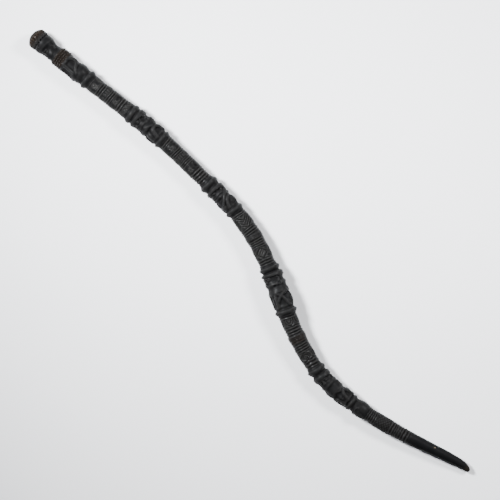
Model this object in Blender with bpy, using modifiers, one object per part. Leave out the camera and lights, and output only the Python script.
"""A carved walking stick of dark hardwood, lying on its side.

The stick is one piece of wood. It is shaped straight, along +X from its top end, and then bent along
its own S-shaped line. Angles round the stick are in degrees from straight up (+Z) towards -Y.
"""

import math

import bmesh
import bpy
from mathutils import Matrix, Vector

MM = 0.001

# How round the turned wood, the limbs and the bosses are.
SIDES = 14
LIMB_BEVEL = 1
DETAIL_BEVEL = 0
BOSS_SEGMENTS = 7
BOSS_RINGS = 4

# The top figure, from the end of the stick: cap, brow, face, rows of beads and torso.
CAP_LENGTH = 14.0 * MM
CAP_RADIUS = 14.8 * MM
CAP_FLAT_RADIUS = 10.0 * MM
CAP_EDGE_LENGTH = 4.6 * MM
CAP_DOME = 2.2 * MM
BROW_LENGTH = 12.5 * MM
BROW_RADIUS = 14.6 * MM
FACE_LENGTH = 18.5 * MM
FACE_RADIUS = 13.7 * MM
NAPE_RADIUS = 11.0 * MM
BEADS_LENGTH = 14.0 * MM
BEADS_RADIUS = 14.3 * MM
BEAD_ROWS = 3
TORSO_LENGTH = 34.5 * MM
TORSO_RADIUS = 15.0 * MM
WAIST_RADIUS = 10.9 * MM
TOP_FIGURE_TURN = 55.0

# Each squatting figure: its length, its radius, which way its face looks, and its shares: where its
# brow, chin, shoulders and feet are.
SECOND_LENGTH = 46.6 * MM
SECOND_RADIUS = 14.7 * MM
SECOND_TURN = 48.0
SECOND_SHARES = (0.13, 0.42, 0.59, 0.97)
THIRD_LENGTH = 38.8 * MM
THIRD_RADIUS = 14.2 * MM
THIRD_TURN = 52.0
THIRD_SHARES = (0.13, 0.32, 0.45, 0.97)
FOURTH_LENGTH = 53.8 * MM
FOURTH_RADIUS = 16.2 * MM
FOURTH_TURN = 60.0
FOURTH_SHARES = (0.11, 0.36, 0.56, 0.96)
FIFTH_LENGTH = 56.8 * MM
FIFTH_RADIUS = 13.7 * MM
FIFTH_TURN = 18.0
FIFTH_SHARES = (0.15, 0.38, 0.61, 0.97)

# The sharp-edged collars above and below the figures: length, and radius of the edge.
COLLAR_1_LENGTH = 12.5 * MM
COLLAR_1_RADIUS = 14.5 * MM
COLLAR_2_TOP_LENGTH = 8.4 * MM
COLLAR_2_TOP_RADIUS = 14.6 * MM
COLLAR_2_END_LENGTH = 11.5 * MM
COLLAR_2_END_RADIUS = 14.0 * MM
COLLAR_3_TOP_LENGTH = 13.6 * MM
COLLAR_3_TOP_RADIUS = 14.4 * MM
COLLAR_3_END_LENGTH = 11.5 * MM
COLLAR_3_END_RADIUS = 13.9 * MM
COLLAR_4_TOP_LENGTH = 11.8 * MM
COLLAR_4_TOP_RADIUS = 15.1 * MM
COLLAR_4_END_LENGTH = 12.2 * MM
COLLAR_4_END_RADIUS = 16.0 * MM
COLLAR_5_TOP_LENGTH = 12.9 * MM
COLLAR_5_TOP_RADIUS = 14.0 * MM
COLLAR_5_END_LENGTH = 10.6 * MM
COLLAR_5_END_RADIUS = 12.3 * MM

# Limbs and features that are joined on, as nodes. Each node is: its share of the face or of the body, its
# angle from the way the figure looks, and its distance from the axis and its half thickness, both as parts
# of the radius.
TOP_NOSE = ((-0.05, 0, 0.88, 0.10), (0.36, 0, 0.93, 0.14))
TOP_LIPS = ((0.62, -20, 0.88, 0.09), (0.62, 0, 0.88, 0.09), (0.62, 20, 0.88, 0.09))
TOP_EAR = ((0.0, 76, 0.82, 0.11), (0.2, 86, 0.82, 0.11), (0.42, 78, 0.82, 0.11))
TOP_ARM = (
    (0.03, 74, 0.78, 0.20),
    (0.20, 96, 0.80, 0.20),
    (0.42, 104, 0.80, 0.20),
    (0.56, 88, 0.80, 0.19),
    (0.63, 62, 0.82, 0.18),
    (0.66, 40, 0.82, 0.18),
)
TOP_CHEST = ((0.04, 32, 0.76, 0.20), (0.34, 27, 0.76, 0.18), (0.60, 27, 0.76, 0.20))
SQUAT_NOSE = ((0.0, 0, 0.86, 0.10), (0.62, 0, 0.90, 0.13))
SQUAT_EAR = ((0.3, 76, 0.86, 0.12), (0.6, 88, 0.86, 0.12), (0.9, 78, 0.86, 0.12))
SQUAT_ARM = (
    (0.02, 86, 0.80, 0.17),
    (0.22, 74, 0.82, 0.17),
    (0.42, 54, 0.84, 0.17),
    (0.30, 32, 0.80, 0.14),
    (0.16, 16, 0.78, 0.15),
)
SQUAT_LEG = (
    (0.80, 118, 0.78, 0.20),
    (0.58, 92, 0.80, 0.20),
    (0.46, 58, 0.82, 0.19),
    (0.70, 44, 0.80, 0.16),
    (0.94, 34, 0.76, 0.18),
)

# Bosses that are joined on. Each is: its share of the face, body or knob, its angle, its distance from the
# axis as a part of the radius, and its half size as a part of that length and parts of the radius.
TOP_JAW = (0.54, 0, 0.44, (0.46, 0.72, 0.50))
TOP_EYE = (0.18, 29, 0.78, (0.11, 0.18, 0.14))
SQUAT_CHIN = (0.95, 0, 0.72, (0.30, 0.46, 0.28))
SQUAT_HAUNCH = (0.62, 128, 0.76, (0.30, 0.42, 0.26))
KNOB_EYE = (0.30, 50, 0.86, (0.11, 0.18, 0.16))
KNOB_JAW = (0.60, 0, 0.80, (0.26, 0.46, 0.28))

# Rings cut round the shafts.
RING_WIDTH = 2.0 * MM
RING_DEPTH = 0.7 * MM

# Each shaft's bands: name and length. A ring band has one ring cut at its middle. A panel is smooth here.
SHAFT_A = (
    ("ring", 5.5 * MM),
    ("fish panel", 11.0 * MM),
    ("ring", 6.0 * MM),
    ("comb panel", 12.0 * MM),
    ("ring", 6.0 * MM),
    ("star panel", 9.5 * MM),
    ("ring", 8.5 * MM),
    ("square panel", 11.5 * MM),
)
SHAFT_A_TOP_RADIUS = 11.6 * MM
SHAFT_A_END_RADIUS = 11.8 * MM
SHAFT_B = (
    ("ring", 8.5 * MM),
    ("star panel", 10.0 * MM),
    ("ring", 5.25 * MM),
    ("ring", 5.25 * MM),
    ("comb panel", 6.0 * MM),
    ("ring", 6.5 * MM),
    ("ring", 6.5 * MM),
    ("leaf panel", 9.5 * MM),
    ("ring", 15.0 * MM),
    ("plain", 8.6 * MM),
)
SHAFT_B_TOP_RADIUS = 11.3 * MM
SHAFT_B_END_RADIUS = 10.8 * MM
SHAFT_C = (
    ("ring", 7.0 * MM),
    ("feather panel", 19.0 * MM),
    ("ring", 5.75 * MM),
    ("ring", 5.75 * MM),
    ("bead panel", 6.0 * MM),
    ("ring", 11.0 * MM),
    ("lens panel", 17.0 * MM),
    ("ring", 6.0 * MM),
    ("plain", 9.0 * MM),
)
SHAFT_C_TOP_RADIUS = 12.0 * MM
SHAFT_C_END_RADIUS = 12.1 * MM
SHAFT_D = (
    ("ring", 6.0 * MM),
    ("arch panel", 11.0 * MM),
    ("ring", 12.0 * MM),
    ("bead panel", 9.5 * MM),
    ("ring", 11.5 * MM),
    ("eye panel", 19.5 * MM),
    ("ring", 8.0 * MM),
    ("plain", 5.0 * MM),
)
SHAFT_D_TOP_RADIUS = 12.7 * MM
SHAFT_D_END_RADIUS = 11.4 * MM
NECK = (
    ("ring", 13.0 * MM),
    ("scale panel", 24.0 * MM),
    ("ring", 14.2 * MM),
    ("ring", 8.25 * MM),
    ("ring", 8.25 * MM),
)
NECK_TOP_RADIUS = 10.8 * MM
NECK_END_RADIUS = 9.7 * MM

# The smooth animal head over the neck, and the plain tapered foot.
KNOB_LENGTH = 23.7 * MM
KNOB_RADIUS = 12.4 * MM
KNOB_TURN = 50.0
TIP_LENGTH = 101.6 * MM
TIP_RADIUS = 9.4 * MM
TIP_END_RADIUS = 5.2 * MM

# The bend: the heading of the centre line from +X, in degrees, at shares of its length.
HEADINGS = (
    (0.0000, 4.3),
    (0.0496, 6.2),
    (0.0992, 6.2),
    (0.1487, 7.4),
    (0.1983, 6.5),
    (0.2479, 3.3),
    (0.2975, 1.4),
    (0.3471, 0.7),
    (0.3967, -0.4),
    (0.4462, -8.6),
    (0.4958, -18.4),
    (0.5454, -22.8),
    (0.5950, -25.2),
    (0.6446, -18.5),
    (0.6941, -11.4),
    (0.7437, 3.2),
    (0.7933, 9.0),
    (0.8429, 14.3),
    (0.8925, 17.5),
    (0.9420, 18.7),
    (0.9840, 14.8),
    (1.0000, 4.0),
)
SPINE_STEP = 3.0 * MM

# How the stick lies: flats planed where it rests, the arch of its middle, and the rise of its foot.
FLAT_DEPTH = 0.4 * MM
MIDDLE_LIFT = 1.2 * MM
TIP_LIFT = 0.8 * MM
PLANING_MARGIN = 60.0 * MM
PLANING_THICKNESS = 30.0 * MM

# Only vertices that are the same point are merged.
WELD = 0.00001
SCREW_WELD = 0.00002


def clear_scene():
    for old in list(bpy.data.objects):
        bpy.data.objects.remove(old, do_unlink=True)


def new_collection(name):
    made = bpy.data.collections.new(name)
    bpy.context.scene.collection.children.link(made)
    return made


def as_helper(obj):
    """Guides, and shapes that are joined on, aren't pieces of their own."""
    obj.hide_render = True
    obj.display_type = "WIRE"


def smooth_between(stations, place):
    """A smooth curve through (place, value) stations."""
    places = [at for at, _ in stations]
    values = [value for _, value in stations]
    last = len(places) - 1
    k = 0
    while k < last - 1 and place > places[k + 1]:
        k += 1

    def slope(i):
        before = max(i - 1, 0)
        after = min(i + 1, last)
        return (values[after] - values[before]) / (places[after] - places[before])

    width = places[k + 1] - places[k]
    t = (place - places[k]) / width
    ends = values[k] * (1 + 2 * t) * (1 - t) ** 2 + values[k + 1] * t * t * (3 - 2 * t)
    return ends + width * (slope(k) * t * (1 - t) ** 2 + slope(k + 1) * t * t * (t - 1))


def scaled(shares, start, length, radius):
    """Profile points from shares of a length and of a radius."""
    return [(start + share * length, part * radius) for share, part in shares]


def cap_profile(start):
    """A cap with a low dome, a rounded edge, and a ring cut where it meets the brow."""
    rim = CAP_RADIUS - CAP_FLAT_RADIUS
    return [
        (start - CAP_DOME, 0.0),
        (start - 0.68 * CAP_DOME, 0.62 * CAP_FLAT_RADIUS),
        (start + 0.1 * CAP_EDGE_LENGTH, CAP_FLAT_RADIUS),
        (start + 0.45 * CAP_EDGE_LENGTH, CAP_FLAT_RADIUS + 0.62 * rim),
        (start + CAP_EDGE_LENGTH, CAP_RADIUS),
        (start + CAP_LENGTH - RING_WIDTH / 2, CAP_RADIUS),
        (start + CAP_LENGTH, BROW_RADIUS - RING_DEPTH),
    ]


def head_profile(start):
    """The brow band, and the back of the head down to the nape."""
    face = start + BROW_LENGTH
    brow_shares = ((0.08, 1.0), (0.62, 1.0), (0.92, 0.93))
    nape_shares = ((0.15, 1.10), (0.45, 1.0), (0.80, 1.10))
    brow = scaled(brow_shares, start, BROW_LENGTH, BROW_RADIUS)
    return brow + scaled(nape_shares, face, FACE_LENGTH, NAPE_RADIUS)


def beads_profile(start):
    points = []
    row = BEADS_LENGTH / BEAD_ROWS
    for i in range(BEAD_ROWS):
        points.append((start + i * row, BEADS_RADIUS - RING_DEPTH))
        points.append((start + (i + 0.5) * row, BEADS_RADIUS))
    return points


def torso_profile(start):
    """Shoulders, a hollowed waist that the arms bridge, and a full belly."""
    shoulders = ((0.0, 0.95), (0.07, 0.94))
    belly = ((0.56, 0.86), (0.68, 0.95), (0.84, 0.95), (0.96, 0.86))
    points = scaled(shoulders, start, TORSO_LENGTH, TORSO_RADIUS)
    points += scaled(((0.17, 1.0), (0.46, 1.0)), start, TORSO_LENGTH, WAIST_RADIUS)
    return points + scaled(belly, start, TORSO_LENGTH, TORSO_RADIUS)


def collar_profile(start, length, radius):
    """A collar that rises in a hollow curve to a blunt edge and falls away again."""
    return scaled(((0.10, 0.84), (0.38, 1.0), (0.54, 1.0), (0.88, 0.82)), start, length, radius)


def shaft_length(bands):
    return sum(length for _, length in bands)


def shaft_profile(start, bands, top_radius, end_radius):
    """A run of ring bands and panels, with a groove for each ring."""
    length = shaft_length(bands)

    def on_taper(place, depth):
        return (place, top_radius + (end_radius - top_radius) * (place - start) / length - depth)

    points = [on_taper(start + RING_WIDTH / 2, 0.0)]
    place = start
    for name, band_length in bands:
        if name == "ring":
            middle = place + band_length / 2
            points.append(on_taper(middle - RING_WIDTH / 2, 0.0))
            points.append(on_taper(middle, RING_DEPTH))
            points.append(on_taper(middle + RING_WIDTH / 2, 0.0))
        place += band_length
    points.append(on_taper(place - RING_WIDTH / 2, 0.0))
    return points


def figure_profile(start, length, radius, shares):
    """What goes all round a squatting figure: cap, jaw, shoulders, and the core behind its limbs."""
    brow, chin, shoulder, foot = shares
    face = chin - brow
    body = foot - shoulder
    rings = (
        (0.15 * brow, 0.84),
        (0.70 * brow, 1.0),
        (1.15 * brow, 0.97),
        (brow + 0.35 * face, 0.78),
        (brow + 0.85 * face, 0.92),
        (chin, 0.92),
        (chin + 0.35 * (shoulder - chin), 0.80),
        (shoulder - 0.01, 0.98),
        (shoulder + 0.06 * body, 0.95),
        (shoulder + 0.20 * body, 0.72),
        (shoulder + 0.80 * body, 0.72),
        (foot, 0.84),
    )
    return scaled(rings, start, length, radius)


def knob_profile(start):
    shares = ((0.06, 0.84), (0.24, 0.91), (0.46, 1.0), (0.64, 0.99), (0.82, 0.92), (0.96, 0.82))
    return scaled(shares, start, KNOB_LENGTH, KNOB_RADIUS)


def tip_profile(start):
    """The plain foot: a taper that grows towards its end, which is rounded over."""
    taper = TIP_RADIUS - TIP_END_RADIUS
    shares = ((0.03, 0.0), (0.25, 0.14), (0.45, 0.27), (0.62, 0.42), (0.76, 0.59), (0.86, 0.78), (0.925, 1.0))
    points = []
    for share, part in shares:
        points.append((start + share * TIP_LENGTH, TIP_RADIUS - part * taper))
    return points + scaled(((0.96, 0.84), (0.987, 0.52), (1.0, 0.0)), start, TIP_LENGTH, TIP_END_RADIUS)


def stick_bands():
    """Every band down the stick in order: name, length, and the function that gives its profile."""

    def collar(name, length, radius):
        return (name, length, lambda start: collar_profile(start, length, radius))

    def shaft(name, bands, top_radius, end_radius):
        return (name, shaft_length(bands), lambda start: shaft_profile(start, bands, top_radius, end_radius))

    def figure(name, length, radius, shares):
        return (name, length, lambda start: figure_profile(start, length, radius, shares))

    return (
        ("cap", CAP_LENGTH, cap_profile),
        ("head", BROW_LENGTH + FACE_LENGTH, head_profile),
        ("beads", BEADS_LENGTH, beads_profile),
        ("torso", TORSO_LENGTH, torso_profile),
        collar("collar_1", COLLAR_1_LENGTH, COLLAR_1_RADIUS),
        shaft("shaft_a", SHAFT_A, SHAFT_A_TOP_RADIUS, SHAFT_A_END_RADIUS),
        collar("collar_2_top", COLLAR_2_TOP_LENGTH, COLLAR_2_TOP_RADIUS),
        figure("second", SECOND_LENGTH, SECOND_RADIUS, SECOND_SHARES),
        collar("collar_2_end", COLLAR_2_END_LENGTH, COLLAR_2_END_RADIUS),
        shaft("shaft_b", SHAFT_B, SHAFT_B_TOP_RADIUS, SHAFT_B_END_RADIUS),
        collar("collar_3_top", COLLAR_3_TOP_LENGTH, COLLAR_3_TOP_RADIUS),
        figure("third", THIRD_LENGTH, THIRD_RADIUS, THIRD_SHARES),
        collar("collar_3_end", COLLAR_3_END_LENGTH, COLLAR_3_END_RADIUS),
        shaft("shaft_c", SHAFT_C, SHAFT_C_TOP_RADIUS, SHAFT_C_END_RADIUS),
        collar("collar_4_top", COLLAR_4_TOP_LENGTH, COLLAR_4_TOP_RADIUS),
        figure("fourth", FOURTH_LENGTH, FOURTH_RADIUS, FOURTH_SHARES),
        collar("collar_4_end", COLLAR_4_END_LENGTH, COLLAR_4_END_RADIUS),
        shaft("shaft_d", SHAFT_D, SHAFT_D_TOP_RADIUS, SHAFT_D_END_RADIUS),
        collar("collar_5_top", COLLAR_5_TOP_LENGTH, COLLAR_5_TOP_RADIUS),
        figure("fifth", FIFTH_LENGTH, FIFTH_RADIUS, FIFTH_SHARES),
        collar("collar_5_end", COLLAR_5_END_LENGTH, COLLAR_5_END_RADIUS),
        ("knob", KNOB_LENGTH, knob_profile),
        shaft("neck", NECK, NECK_TOP_RADIUS, NECK_END_RADIUS),
        ("tip", TIP_LENGTH, tip_profile),
    )


def lay_out():
    """Where each band starts, the whole profile, and the length of the stick."""
    starts = {}
    points = []
    place = 0.0
    for name, length, profile in stick_bands():
        starts[name] = place
        points += profile(place)
        place += length
    return starts, points, place


def turned_body(points, target):
    """The profile spun about the straight stick's own axis."""
    mesh = bpy.data.meshes.new("walking_stick")
    corners = [(place, 0.0, radius) for place, radius in points]
    mesh.from_pydata(corners, [(i, i + 1) for i in range(len(corners) - 1)], [])
    stick = bpy.data.objects.new("walking_stick", mesh)
    target.objects.link(stick)
    screw = stick.modifiers.new("Turned", "SCREW")
    screw.axis = "X"
    screw.angle = 2 * math.pi
    screw.steps = SIDES
    screw.render_steps = SIDES
    screw.use_merge_vertices = True
    screw.merge_threshold = SCREW_WELD
    screw.use_smooth_shade = True
    return stick


def on_stick(along, degrees, radius):
    """A point of the straight stick, from its place along it, its angle and its distance from the axis."""
    angle = math.radians(degrees)
    return Vector((along, -radius * math.sin(angle), radius * math.cos(angle)))


def keep_as_mesh(curve_object, target):
    """The curve's solid as a closed mesh in the carving collection, in place of the curve."""
    graph = bpy.context.evaluated_depsgraph_get()
    mesh = bpy.data.meshes.new_from_object(curve_object.evaluated_get(graph))
    work = bmesh.new()
    work.from_mesh(mesh)
    bmesh.ops.remove_doubles(work, verts=work.verts, dist=WELD)
    bmesh.ops.recalc_face_normals(work, faces=work.faces)
    for face in work.faces:
        face.smooth = True
    work.to_mesh(mesh)
    work.free()
    made = bpy.data.objects.new(curve_object.name + "_solid", mesh)
    made.matrix_world = curve_object.matrix_world
    target.objects.link(made)
    as_helper(made)
    curve = curve_object.data
    bpy.data.objects.remove(curve_object, do_unlink=True)
    bpy.data.curves.remove(curve)


def limb(name, nodes, target, bevel):
    """A round-ended limb through nodes of (along, degrees, distance from the axis, half thickness)."""
    path = [(on_stick(along, degrees, radius), thick) for along, degrees, radius, thick in nodes]
    first, first_thick = path[0]
    last, last_thick = path[-1]
    head_way = (first - path[1][0]).normalized()
    tail_way = (last - path[-2][0]).normalized()
    path.insert(0, (first + head_way * first_thick * 0.8, first_thick * 0.5))
    path.append((last + tail_way * last_thick * 0.8, last_thick * 0.5))
    curve = bpy.data.curves.new(name, "CURVE")
    curve.dimensions = "3D"
    curve.bevel_depth = 1.0
    curve.bevel_resolution = bevel
    curve.use_fill_caps = True
    spline = curve.splines.new("POLY")
    spline.points.add(len(path) - 1)
    for point, (place, thick) in zip(spline.points, path):
        point.co = (*place, 1.0)
        point.radius = thick
    made = bpy.data.objects.new(name, curve)
    target.objects.link(made)
    bpy.context.view_layer.update()
    keep_as_mesh(made, target)


def boss(name, along, degrees, radius, half_size, target):
    """A rounded boss. Its half size is along the stick, round it, and outwards."""
    mesh = bpy.data.meshes.new(name)
    work = bmesh.new()
    bmesh.ops.create_uvsphere(work, u_segments=BOSS_SEGMENTS, v_segments=BOSS_RINGS, radius=1.0)
    for face in work.faces:
        face.smooth = True
    work.to_mesh(mesh)
    work.free()
    outward = on_stick(0.0, degrees, 1.0)
    forward = Vector((1.0, 0.0, 0.0))
    around = outward.cross(forward)
    axes = Matrix((forward * half_size[0], around * half_size[1], outward * half_size[2]))
    place = Matrix.Translation(on_stick(along, degrees, radius))
    mesh.transform(place @ axes.transposed().to_4x4())
    made = bpy.data.objects.new(name, mesh)
    target.objects.link(made)
    as_helper(made)


def placed(table, start, length, radius):
    """A table of nodes as (along, degrees, distance from the axis, half thickness)."""
    nodes = []
    for share, degrees, part, thick in table:
        nodes.append((start + share * length, degrees, part * radius, thick * radius))
    return nodes


def turned(nodes, turn, sign):
    """Nodes moved round the stick to a figure's own side: 1 for one side, -1 for its mirror image."""
    return [(along, turn + sign * degrees, radius, thick) for along, degrees, radius, thick in nodes]


def middle_limb(name, turn, nodes, target, bevel=DETAIL_BEVEL):
    limb(name, turned(nodes, turn, 1), target, bevel)


def limb_pair(name, turn, nodes, target, bevel=LIMB_BEVEL):
    """The same limb on both sides of the way a figure looks."""
    limb(f"{name}_left", turned(nodes, turn, -1), target, bevel)
    limb(f"{name}_right", turned(nodes, turn, 1), target, bevel)


def placed_boss(name, turn, sign, table, start, length, radius, target):
    share, degrees, part, sizes = table
    half_size = (sizes[0] * length, sizes[1] * radius, sizes[2] * radius)
    boss(name, start + share * length, turn + sign * degrees, part * radius, half_size, target)


def boss_pair(name, turn, table, start, length, radius, target):
    """The same boss on both sides of the way a figure looks."""
    placed_boss(f"{name}_left", turn, -1, table, start, length, radius, target)
    placed_boss(f"{name}_right", turn, 1, table, start, length, radius, target)


def carve_top_figure(starts, target):
    """A long face under the cap, and arms akimbo with the hands on the belly."""
    turn = TOP_FIGURE_TURN
    face = (starts["head"] + BROW_LENGTH, FACE_LENGTH, FACE_RADIUS)
    placed_boss("top_jaw", turn, 1, TOP_JAW, *face, target)
    middle_limb("top_nose", turn, placed(TOP_NOSE, *face), target, LIMB_BEVEL)
    boss_pair("top_eye", turn, TOP_EYE, *face, target)
    middle_limb("top_lips", turn, placed(TOP_LIPS, *face), target)
    limb_pair("top_ear", turn, placed(TOP_EAR, *face), target, DETAIL_BEVEL)
    body = (starts["torso"], TORSO_LENGTH, TORSO_RADIUS)
    limb_pair("top_arm", turn, placed(TOP_ARM, *body), target)
    limb_pair("top_chest", turn, placed(TOP_CHEST, *body), target)


def carve_squatting_figure(name, start, length, radius, turn, shares, target):
    """A figure that squats with its elbows on its knees and its hands under its chin."""
    brow, chin, shoulder, foot = shares
    face = (start + brow * length, (chin - brow) * length, radius)
    middle_limb(f"{name}_nose", turn, placed(SQUAT_NOSE, *face), target)
    placed_boss(f"{name}_chin", turn, 1, SQUAT_CHIN, *face, target)
    limb_pair(f"{name}_ear", turn, placed(SQUAT_EAR, *face), target, DETAIL_BEVEL)
    body = (start + shoulder * length, (foot - shoulder) * length, radius)
    limb_pair(f"{name}_arm", turn, placed(SQUAT_ARM, *body), target)
    limb_pair(f"{name}_leg", turn, placed(SQUAT_LEG, *body), target)
    boss_pair(f"{name}_haunch", turn, SQUAT_HAUNCH, *body, target)


def carve_animal_head(start, target):
    """Eyes and a jaw on the smooth knob over the scaly neck."""
    knob = (start, KNOB_LENGTH, KNOB_RADIUS)
    boss_pair("knob_eye", KNOB_TURN, KNOB_EYE, *knob, target)
    placed_boss("knob_jaw", KNOB_TURN, 1, KNOB_JAW, *knob, target)


def resting_heights(starts, length):
    """The height of the centre line over what it lies on, at shares of the stick's length."""
    places = (
        (0.0, CAP_RADIUS - FLAT_DEPTH),
        (starts["collar_1"] + COLLAR_1_LENGTH / 2, COLLAR_1_RADIUS),
        (starts["collar_2_top"] + COLLAR_2_TOP_LENGTH / 2, COLLAR_2_TOP_RADIUS - FLAT_DEPTH),
        (starts["collar_3_top"] + COLLAR_3_TOP_LENGTH / 2, COLLAR_3_TOP_RADIUS - FLAT_DEPTH),
        (starts["collar_4_top"], COLLAR_4_TOP_RADIUS + MIDDLE_LIFT),
        (starts["collar_4_end"], COLLAR_4_END_RADIUS + MIDDLE_LIFT),
        (starts["collar_5_top"] + COLLAR_5_TOP_LENGTH / 2, COLLAR_5_TOP_RADIUS - FLAT_DEPTH),
        (starts["knob"], COLLAR_5_END_RADIUS),
        (starts["tip"], TIP_RADIUS + TIP_LIFT),
        (length, TIP_END_RADIUS + TIP_LIFT),
    )
    return [(place / length, height) for place, height in places]


def spine_points(starts, length):
    """The bent centre line: its headings and heights followed in short steps from the top end."""
    heights = resting_heights(starts, length)
    count = round(length / SPINE_STEP)
    step = length / count
    here = Vector((0.0, 0.0, heights[0][1]))
    points = [here]
    for i in range(count):
        heading = math.radians(smooth_between(HEADINGS, (i + 0.5) / count))
        rise = smooth_between(heights, (i + 1) / count) - here.z
        run = math.sqrt(step * step - rise * rise)
        here = here + Vector((run * math.cos(heading), run * math.sin(heading), rise))
        points.append(here)
    return points


def spine_guide(points, target):
    curve = bpy.data.curves.new("spine", "CURVE")
    curve.dimensions = "3D"
    curve.twist_mode = "Z_UP"
    spline = curve.splines.new("POLY")
    spline.points.add(len(points) - 1)
    for point, place in zip(spline.points, points):
        point.co = (*place, 1.0)
    guide = bpy.data.objects.new("spine", curve)
    target.objects.link(guide)
    as_helper(guide)
    return guide


def planing_block(points, target):
    """A block whose top face is the surface that the stick lies on."""
    low = Vector(map(min, zip(*points)))
    high = Vector(map(max, zip(*points)))
    middle = (low + high) / 2
    middle.z = -PLANING_THICKNESS / 2
    size = high - low + 2 * Vector((PLANING_MARGIN, PLANING_MARGIN, 0.0))
    mesh = bpy.data.meshes.new("planing_block")
    work = bmesh.new()
    bmesh.ops.create_cube(work, size=1.0)
    work.to_mesh(mesh)
    work.free()
    mesh.transform(Matrix.Translation(middle) @ Matrix.Diagonal((size.x, size.y, PLANING_THICKNESS, 1.0)))
    block = bpy.data.objects.new("planing_block", mesh)
    target.objects.link(block)
    as_helper(block)
    return block


def middle_from_above(obj):
    """The middle of the finished shape's outline, seen from above."""
    bpy.context.view_layer.update()
    mesh = obj.evaluated_get(bpy.context.evaluated_depsgraph_get()).to_mesh()
    across = [v.co.x for v in mesh.vertices]
    deep = [v.co.y for v in mesh.vertices]
    return Vector(((min(across) + max(across)) / 2, (min(deep) + max(deep)) / 2, 0.0))


def dark_wood():
    material = bpy.data.materials.new("dark_wood")
    material.use_nodes = True
    shader = material.node_tree.nodes["Principled BSDF"]
    shader.inputs["Base Color"].default_value = (0.030, 0.030, 0.031, 1.0)
    shader.inputs["Roughness"].default_value = 0.42
    shader.inputs["Metallic"].default_value = 0.0
    return material


def build():
    clear_scene()
    finished = new_collection("carved_walking_stick")
    carving = new_collection("carving")
    guides = new_collection("guides")

    starts, points, length = lay_out()
    stick = turned_body(points, finished)
    stick.data.materials.append(dark_wood())

    carve_top_figure(starts, carving)
    figures = (
        ("second", SECOND_LENGTH, SECOND_RADIUS, SECOND_TURN, SECOND_SHARES),
        ("third", THIRD_LENGTH, THIRD_RADIUS, THIRD_TURN, THIRD_SHARES),
        ("fourth", FOURTH_LENGTH, FOURTH_RADIUS, FOURTH_TURN, FOURTH_SHARES),
        ("fifth", FIFTH_LENGTH, FIFTH_RADIUS, FIFTH_TURN, FIFTH_SHARES),
    )
    for name, figure_length, radius, turn, shares in figures:
        carve_squatting_figure(name, starts[name], figure_length, radius, turn, shares, carving)
    carve_animal_head(starts["knob"], carving)

    joined = stick.modifiers.new("Carved", "BOOLEAN")
    joined.operation = "UNION"
    joined.operand_type = "COLLECTION"
    joined.collection = carving
    joined.solver = "EXACT"

    line = spine_points(starts, length)
    guide = spine_guide(line, guides)
    bend = stick.modifiers.new("Bent", "CURVE")
    bend.object = guide
    bend.deform_axis = "POS_X"

    # The finished outline is centred over the origin.
    middle = middle_from_above(stick)
    for point in guide.data.splines[0].points:
        point.co = point.co - Vector((*middle, 0.0))
    planed = stick.modifiers.new("Planed", "BOOLEAN")
    planed.operation = "DIFFERENCE"
    planed.object = planing_block([place - middle for place in line], guides)
    planed.solver = "EXACT"


build()
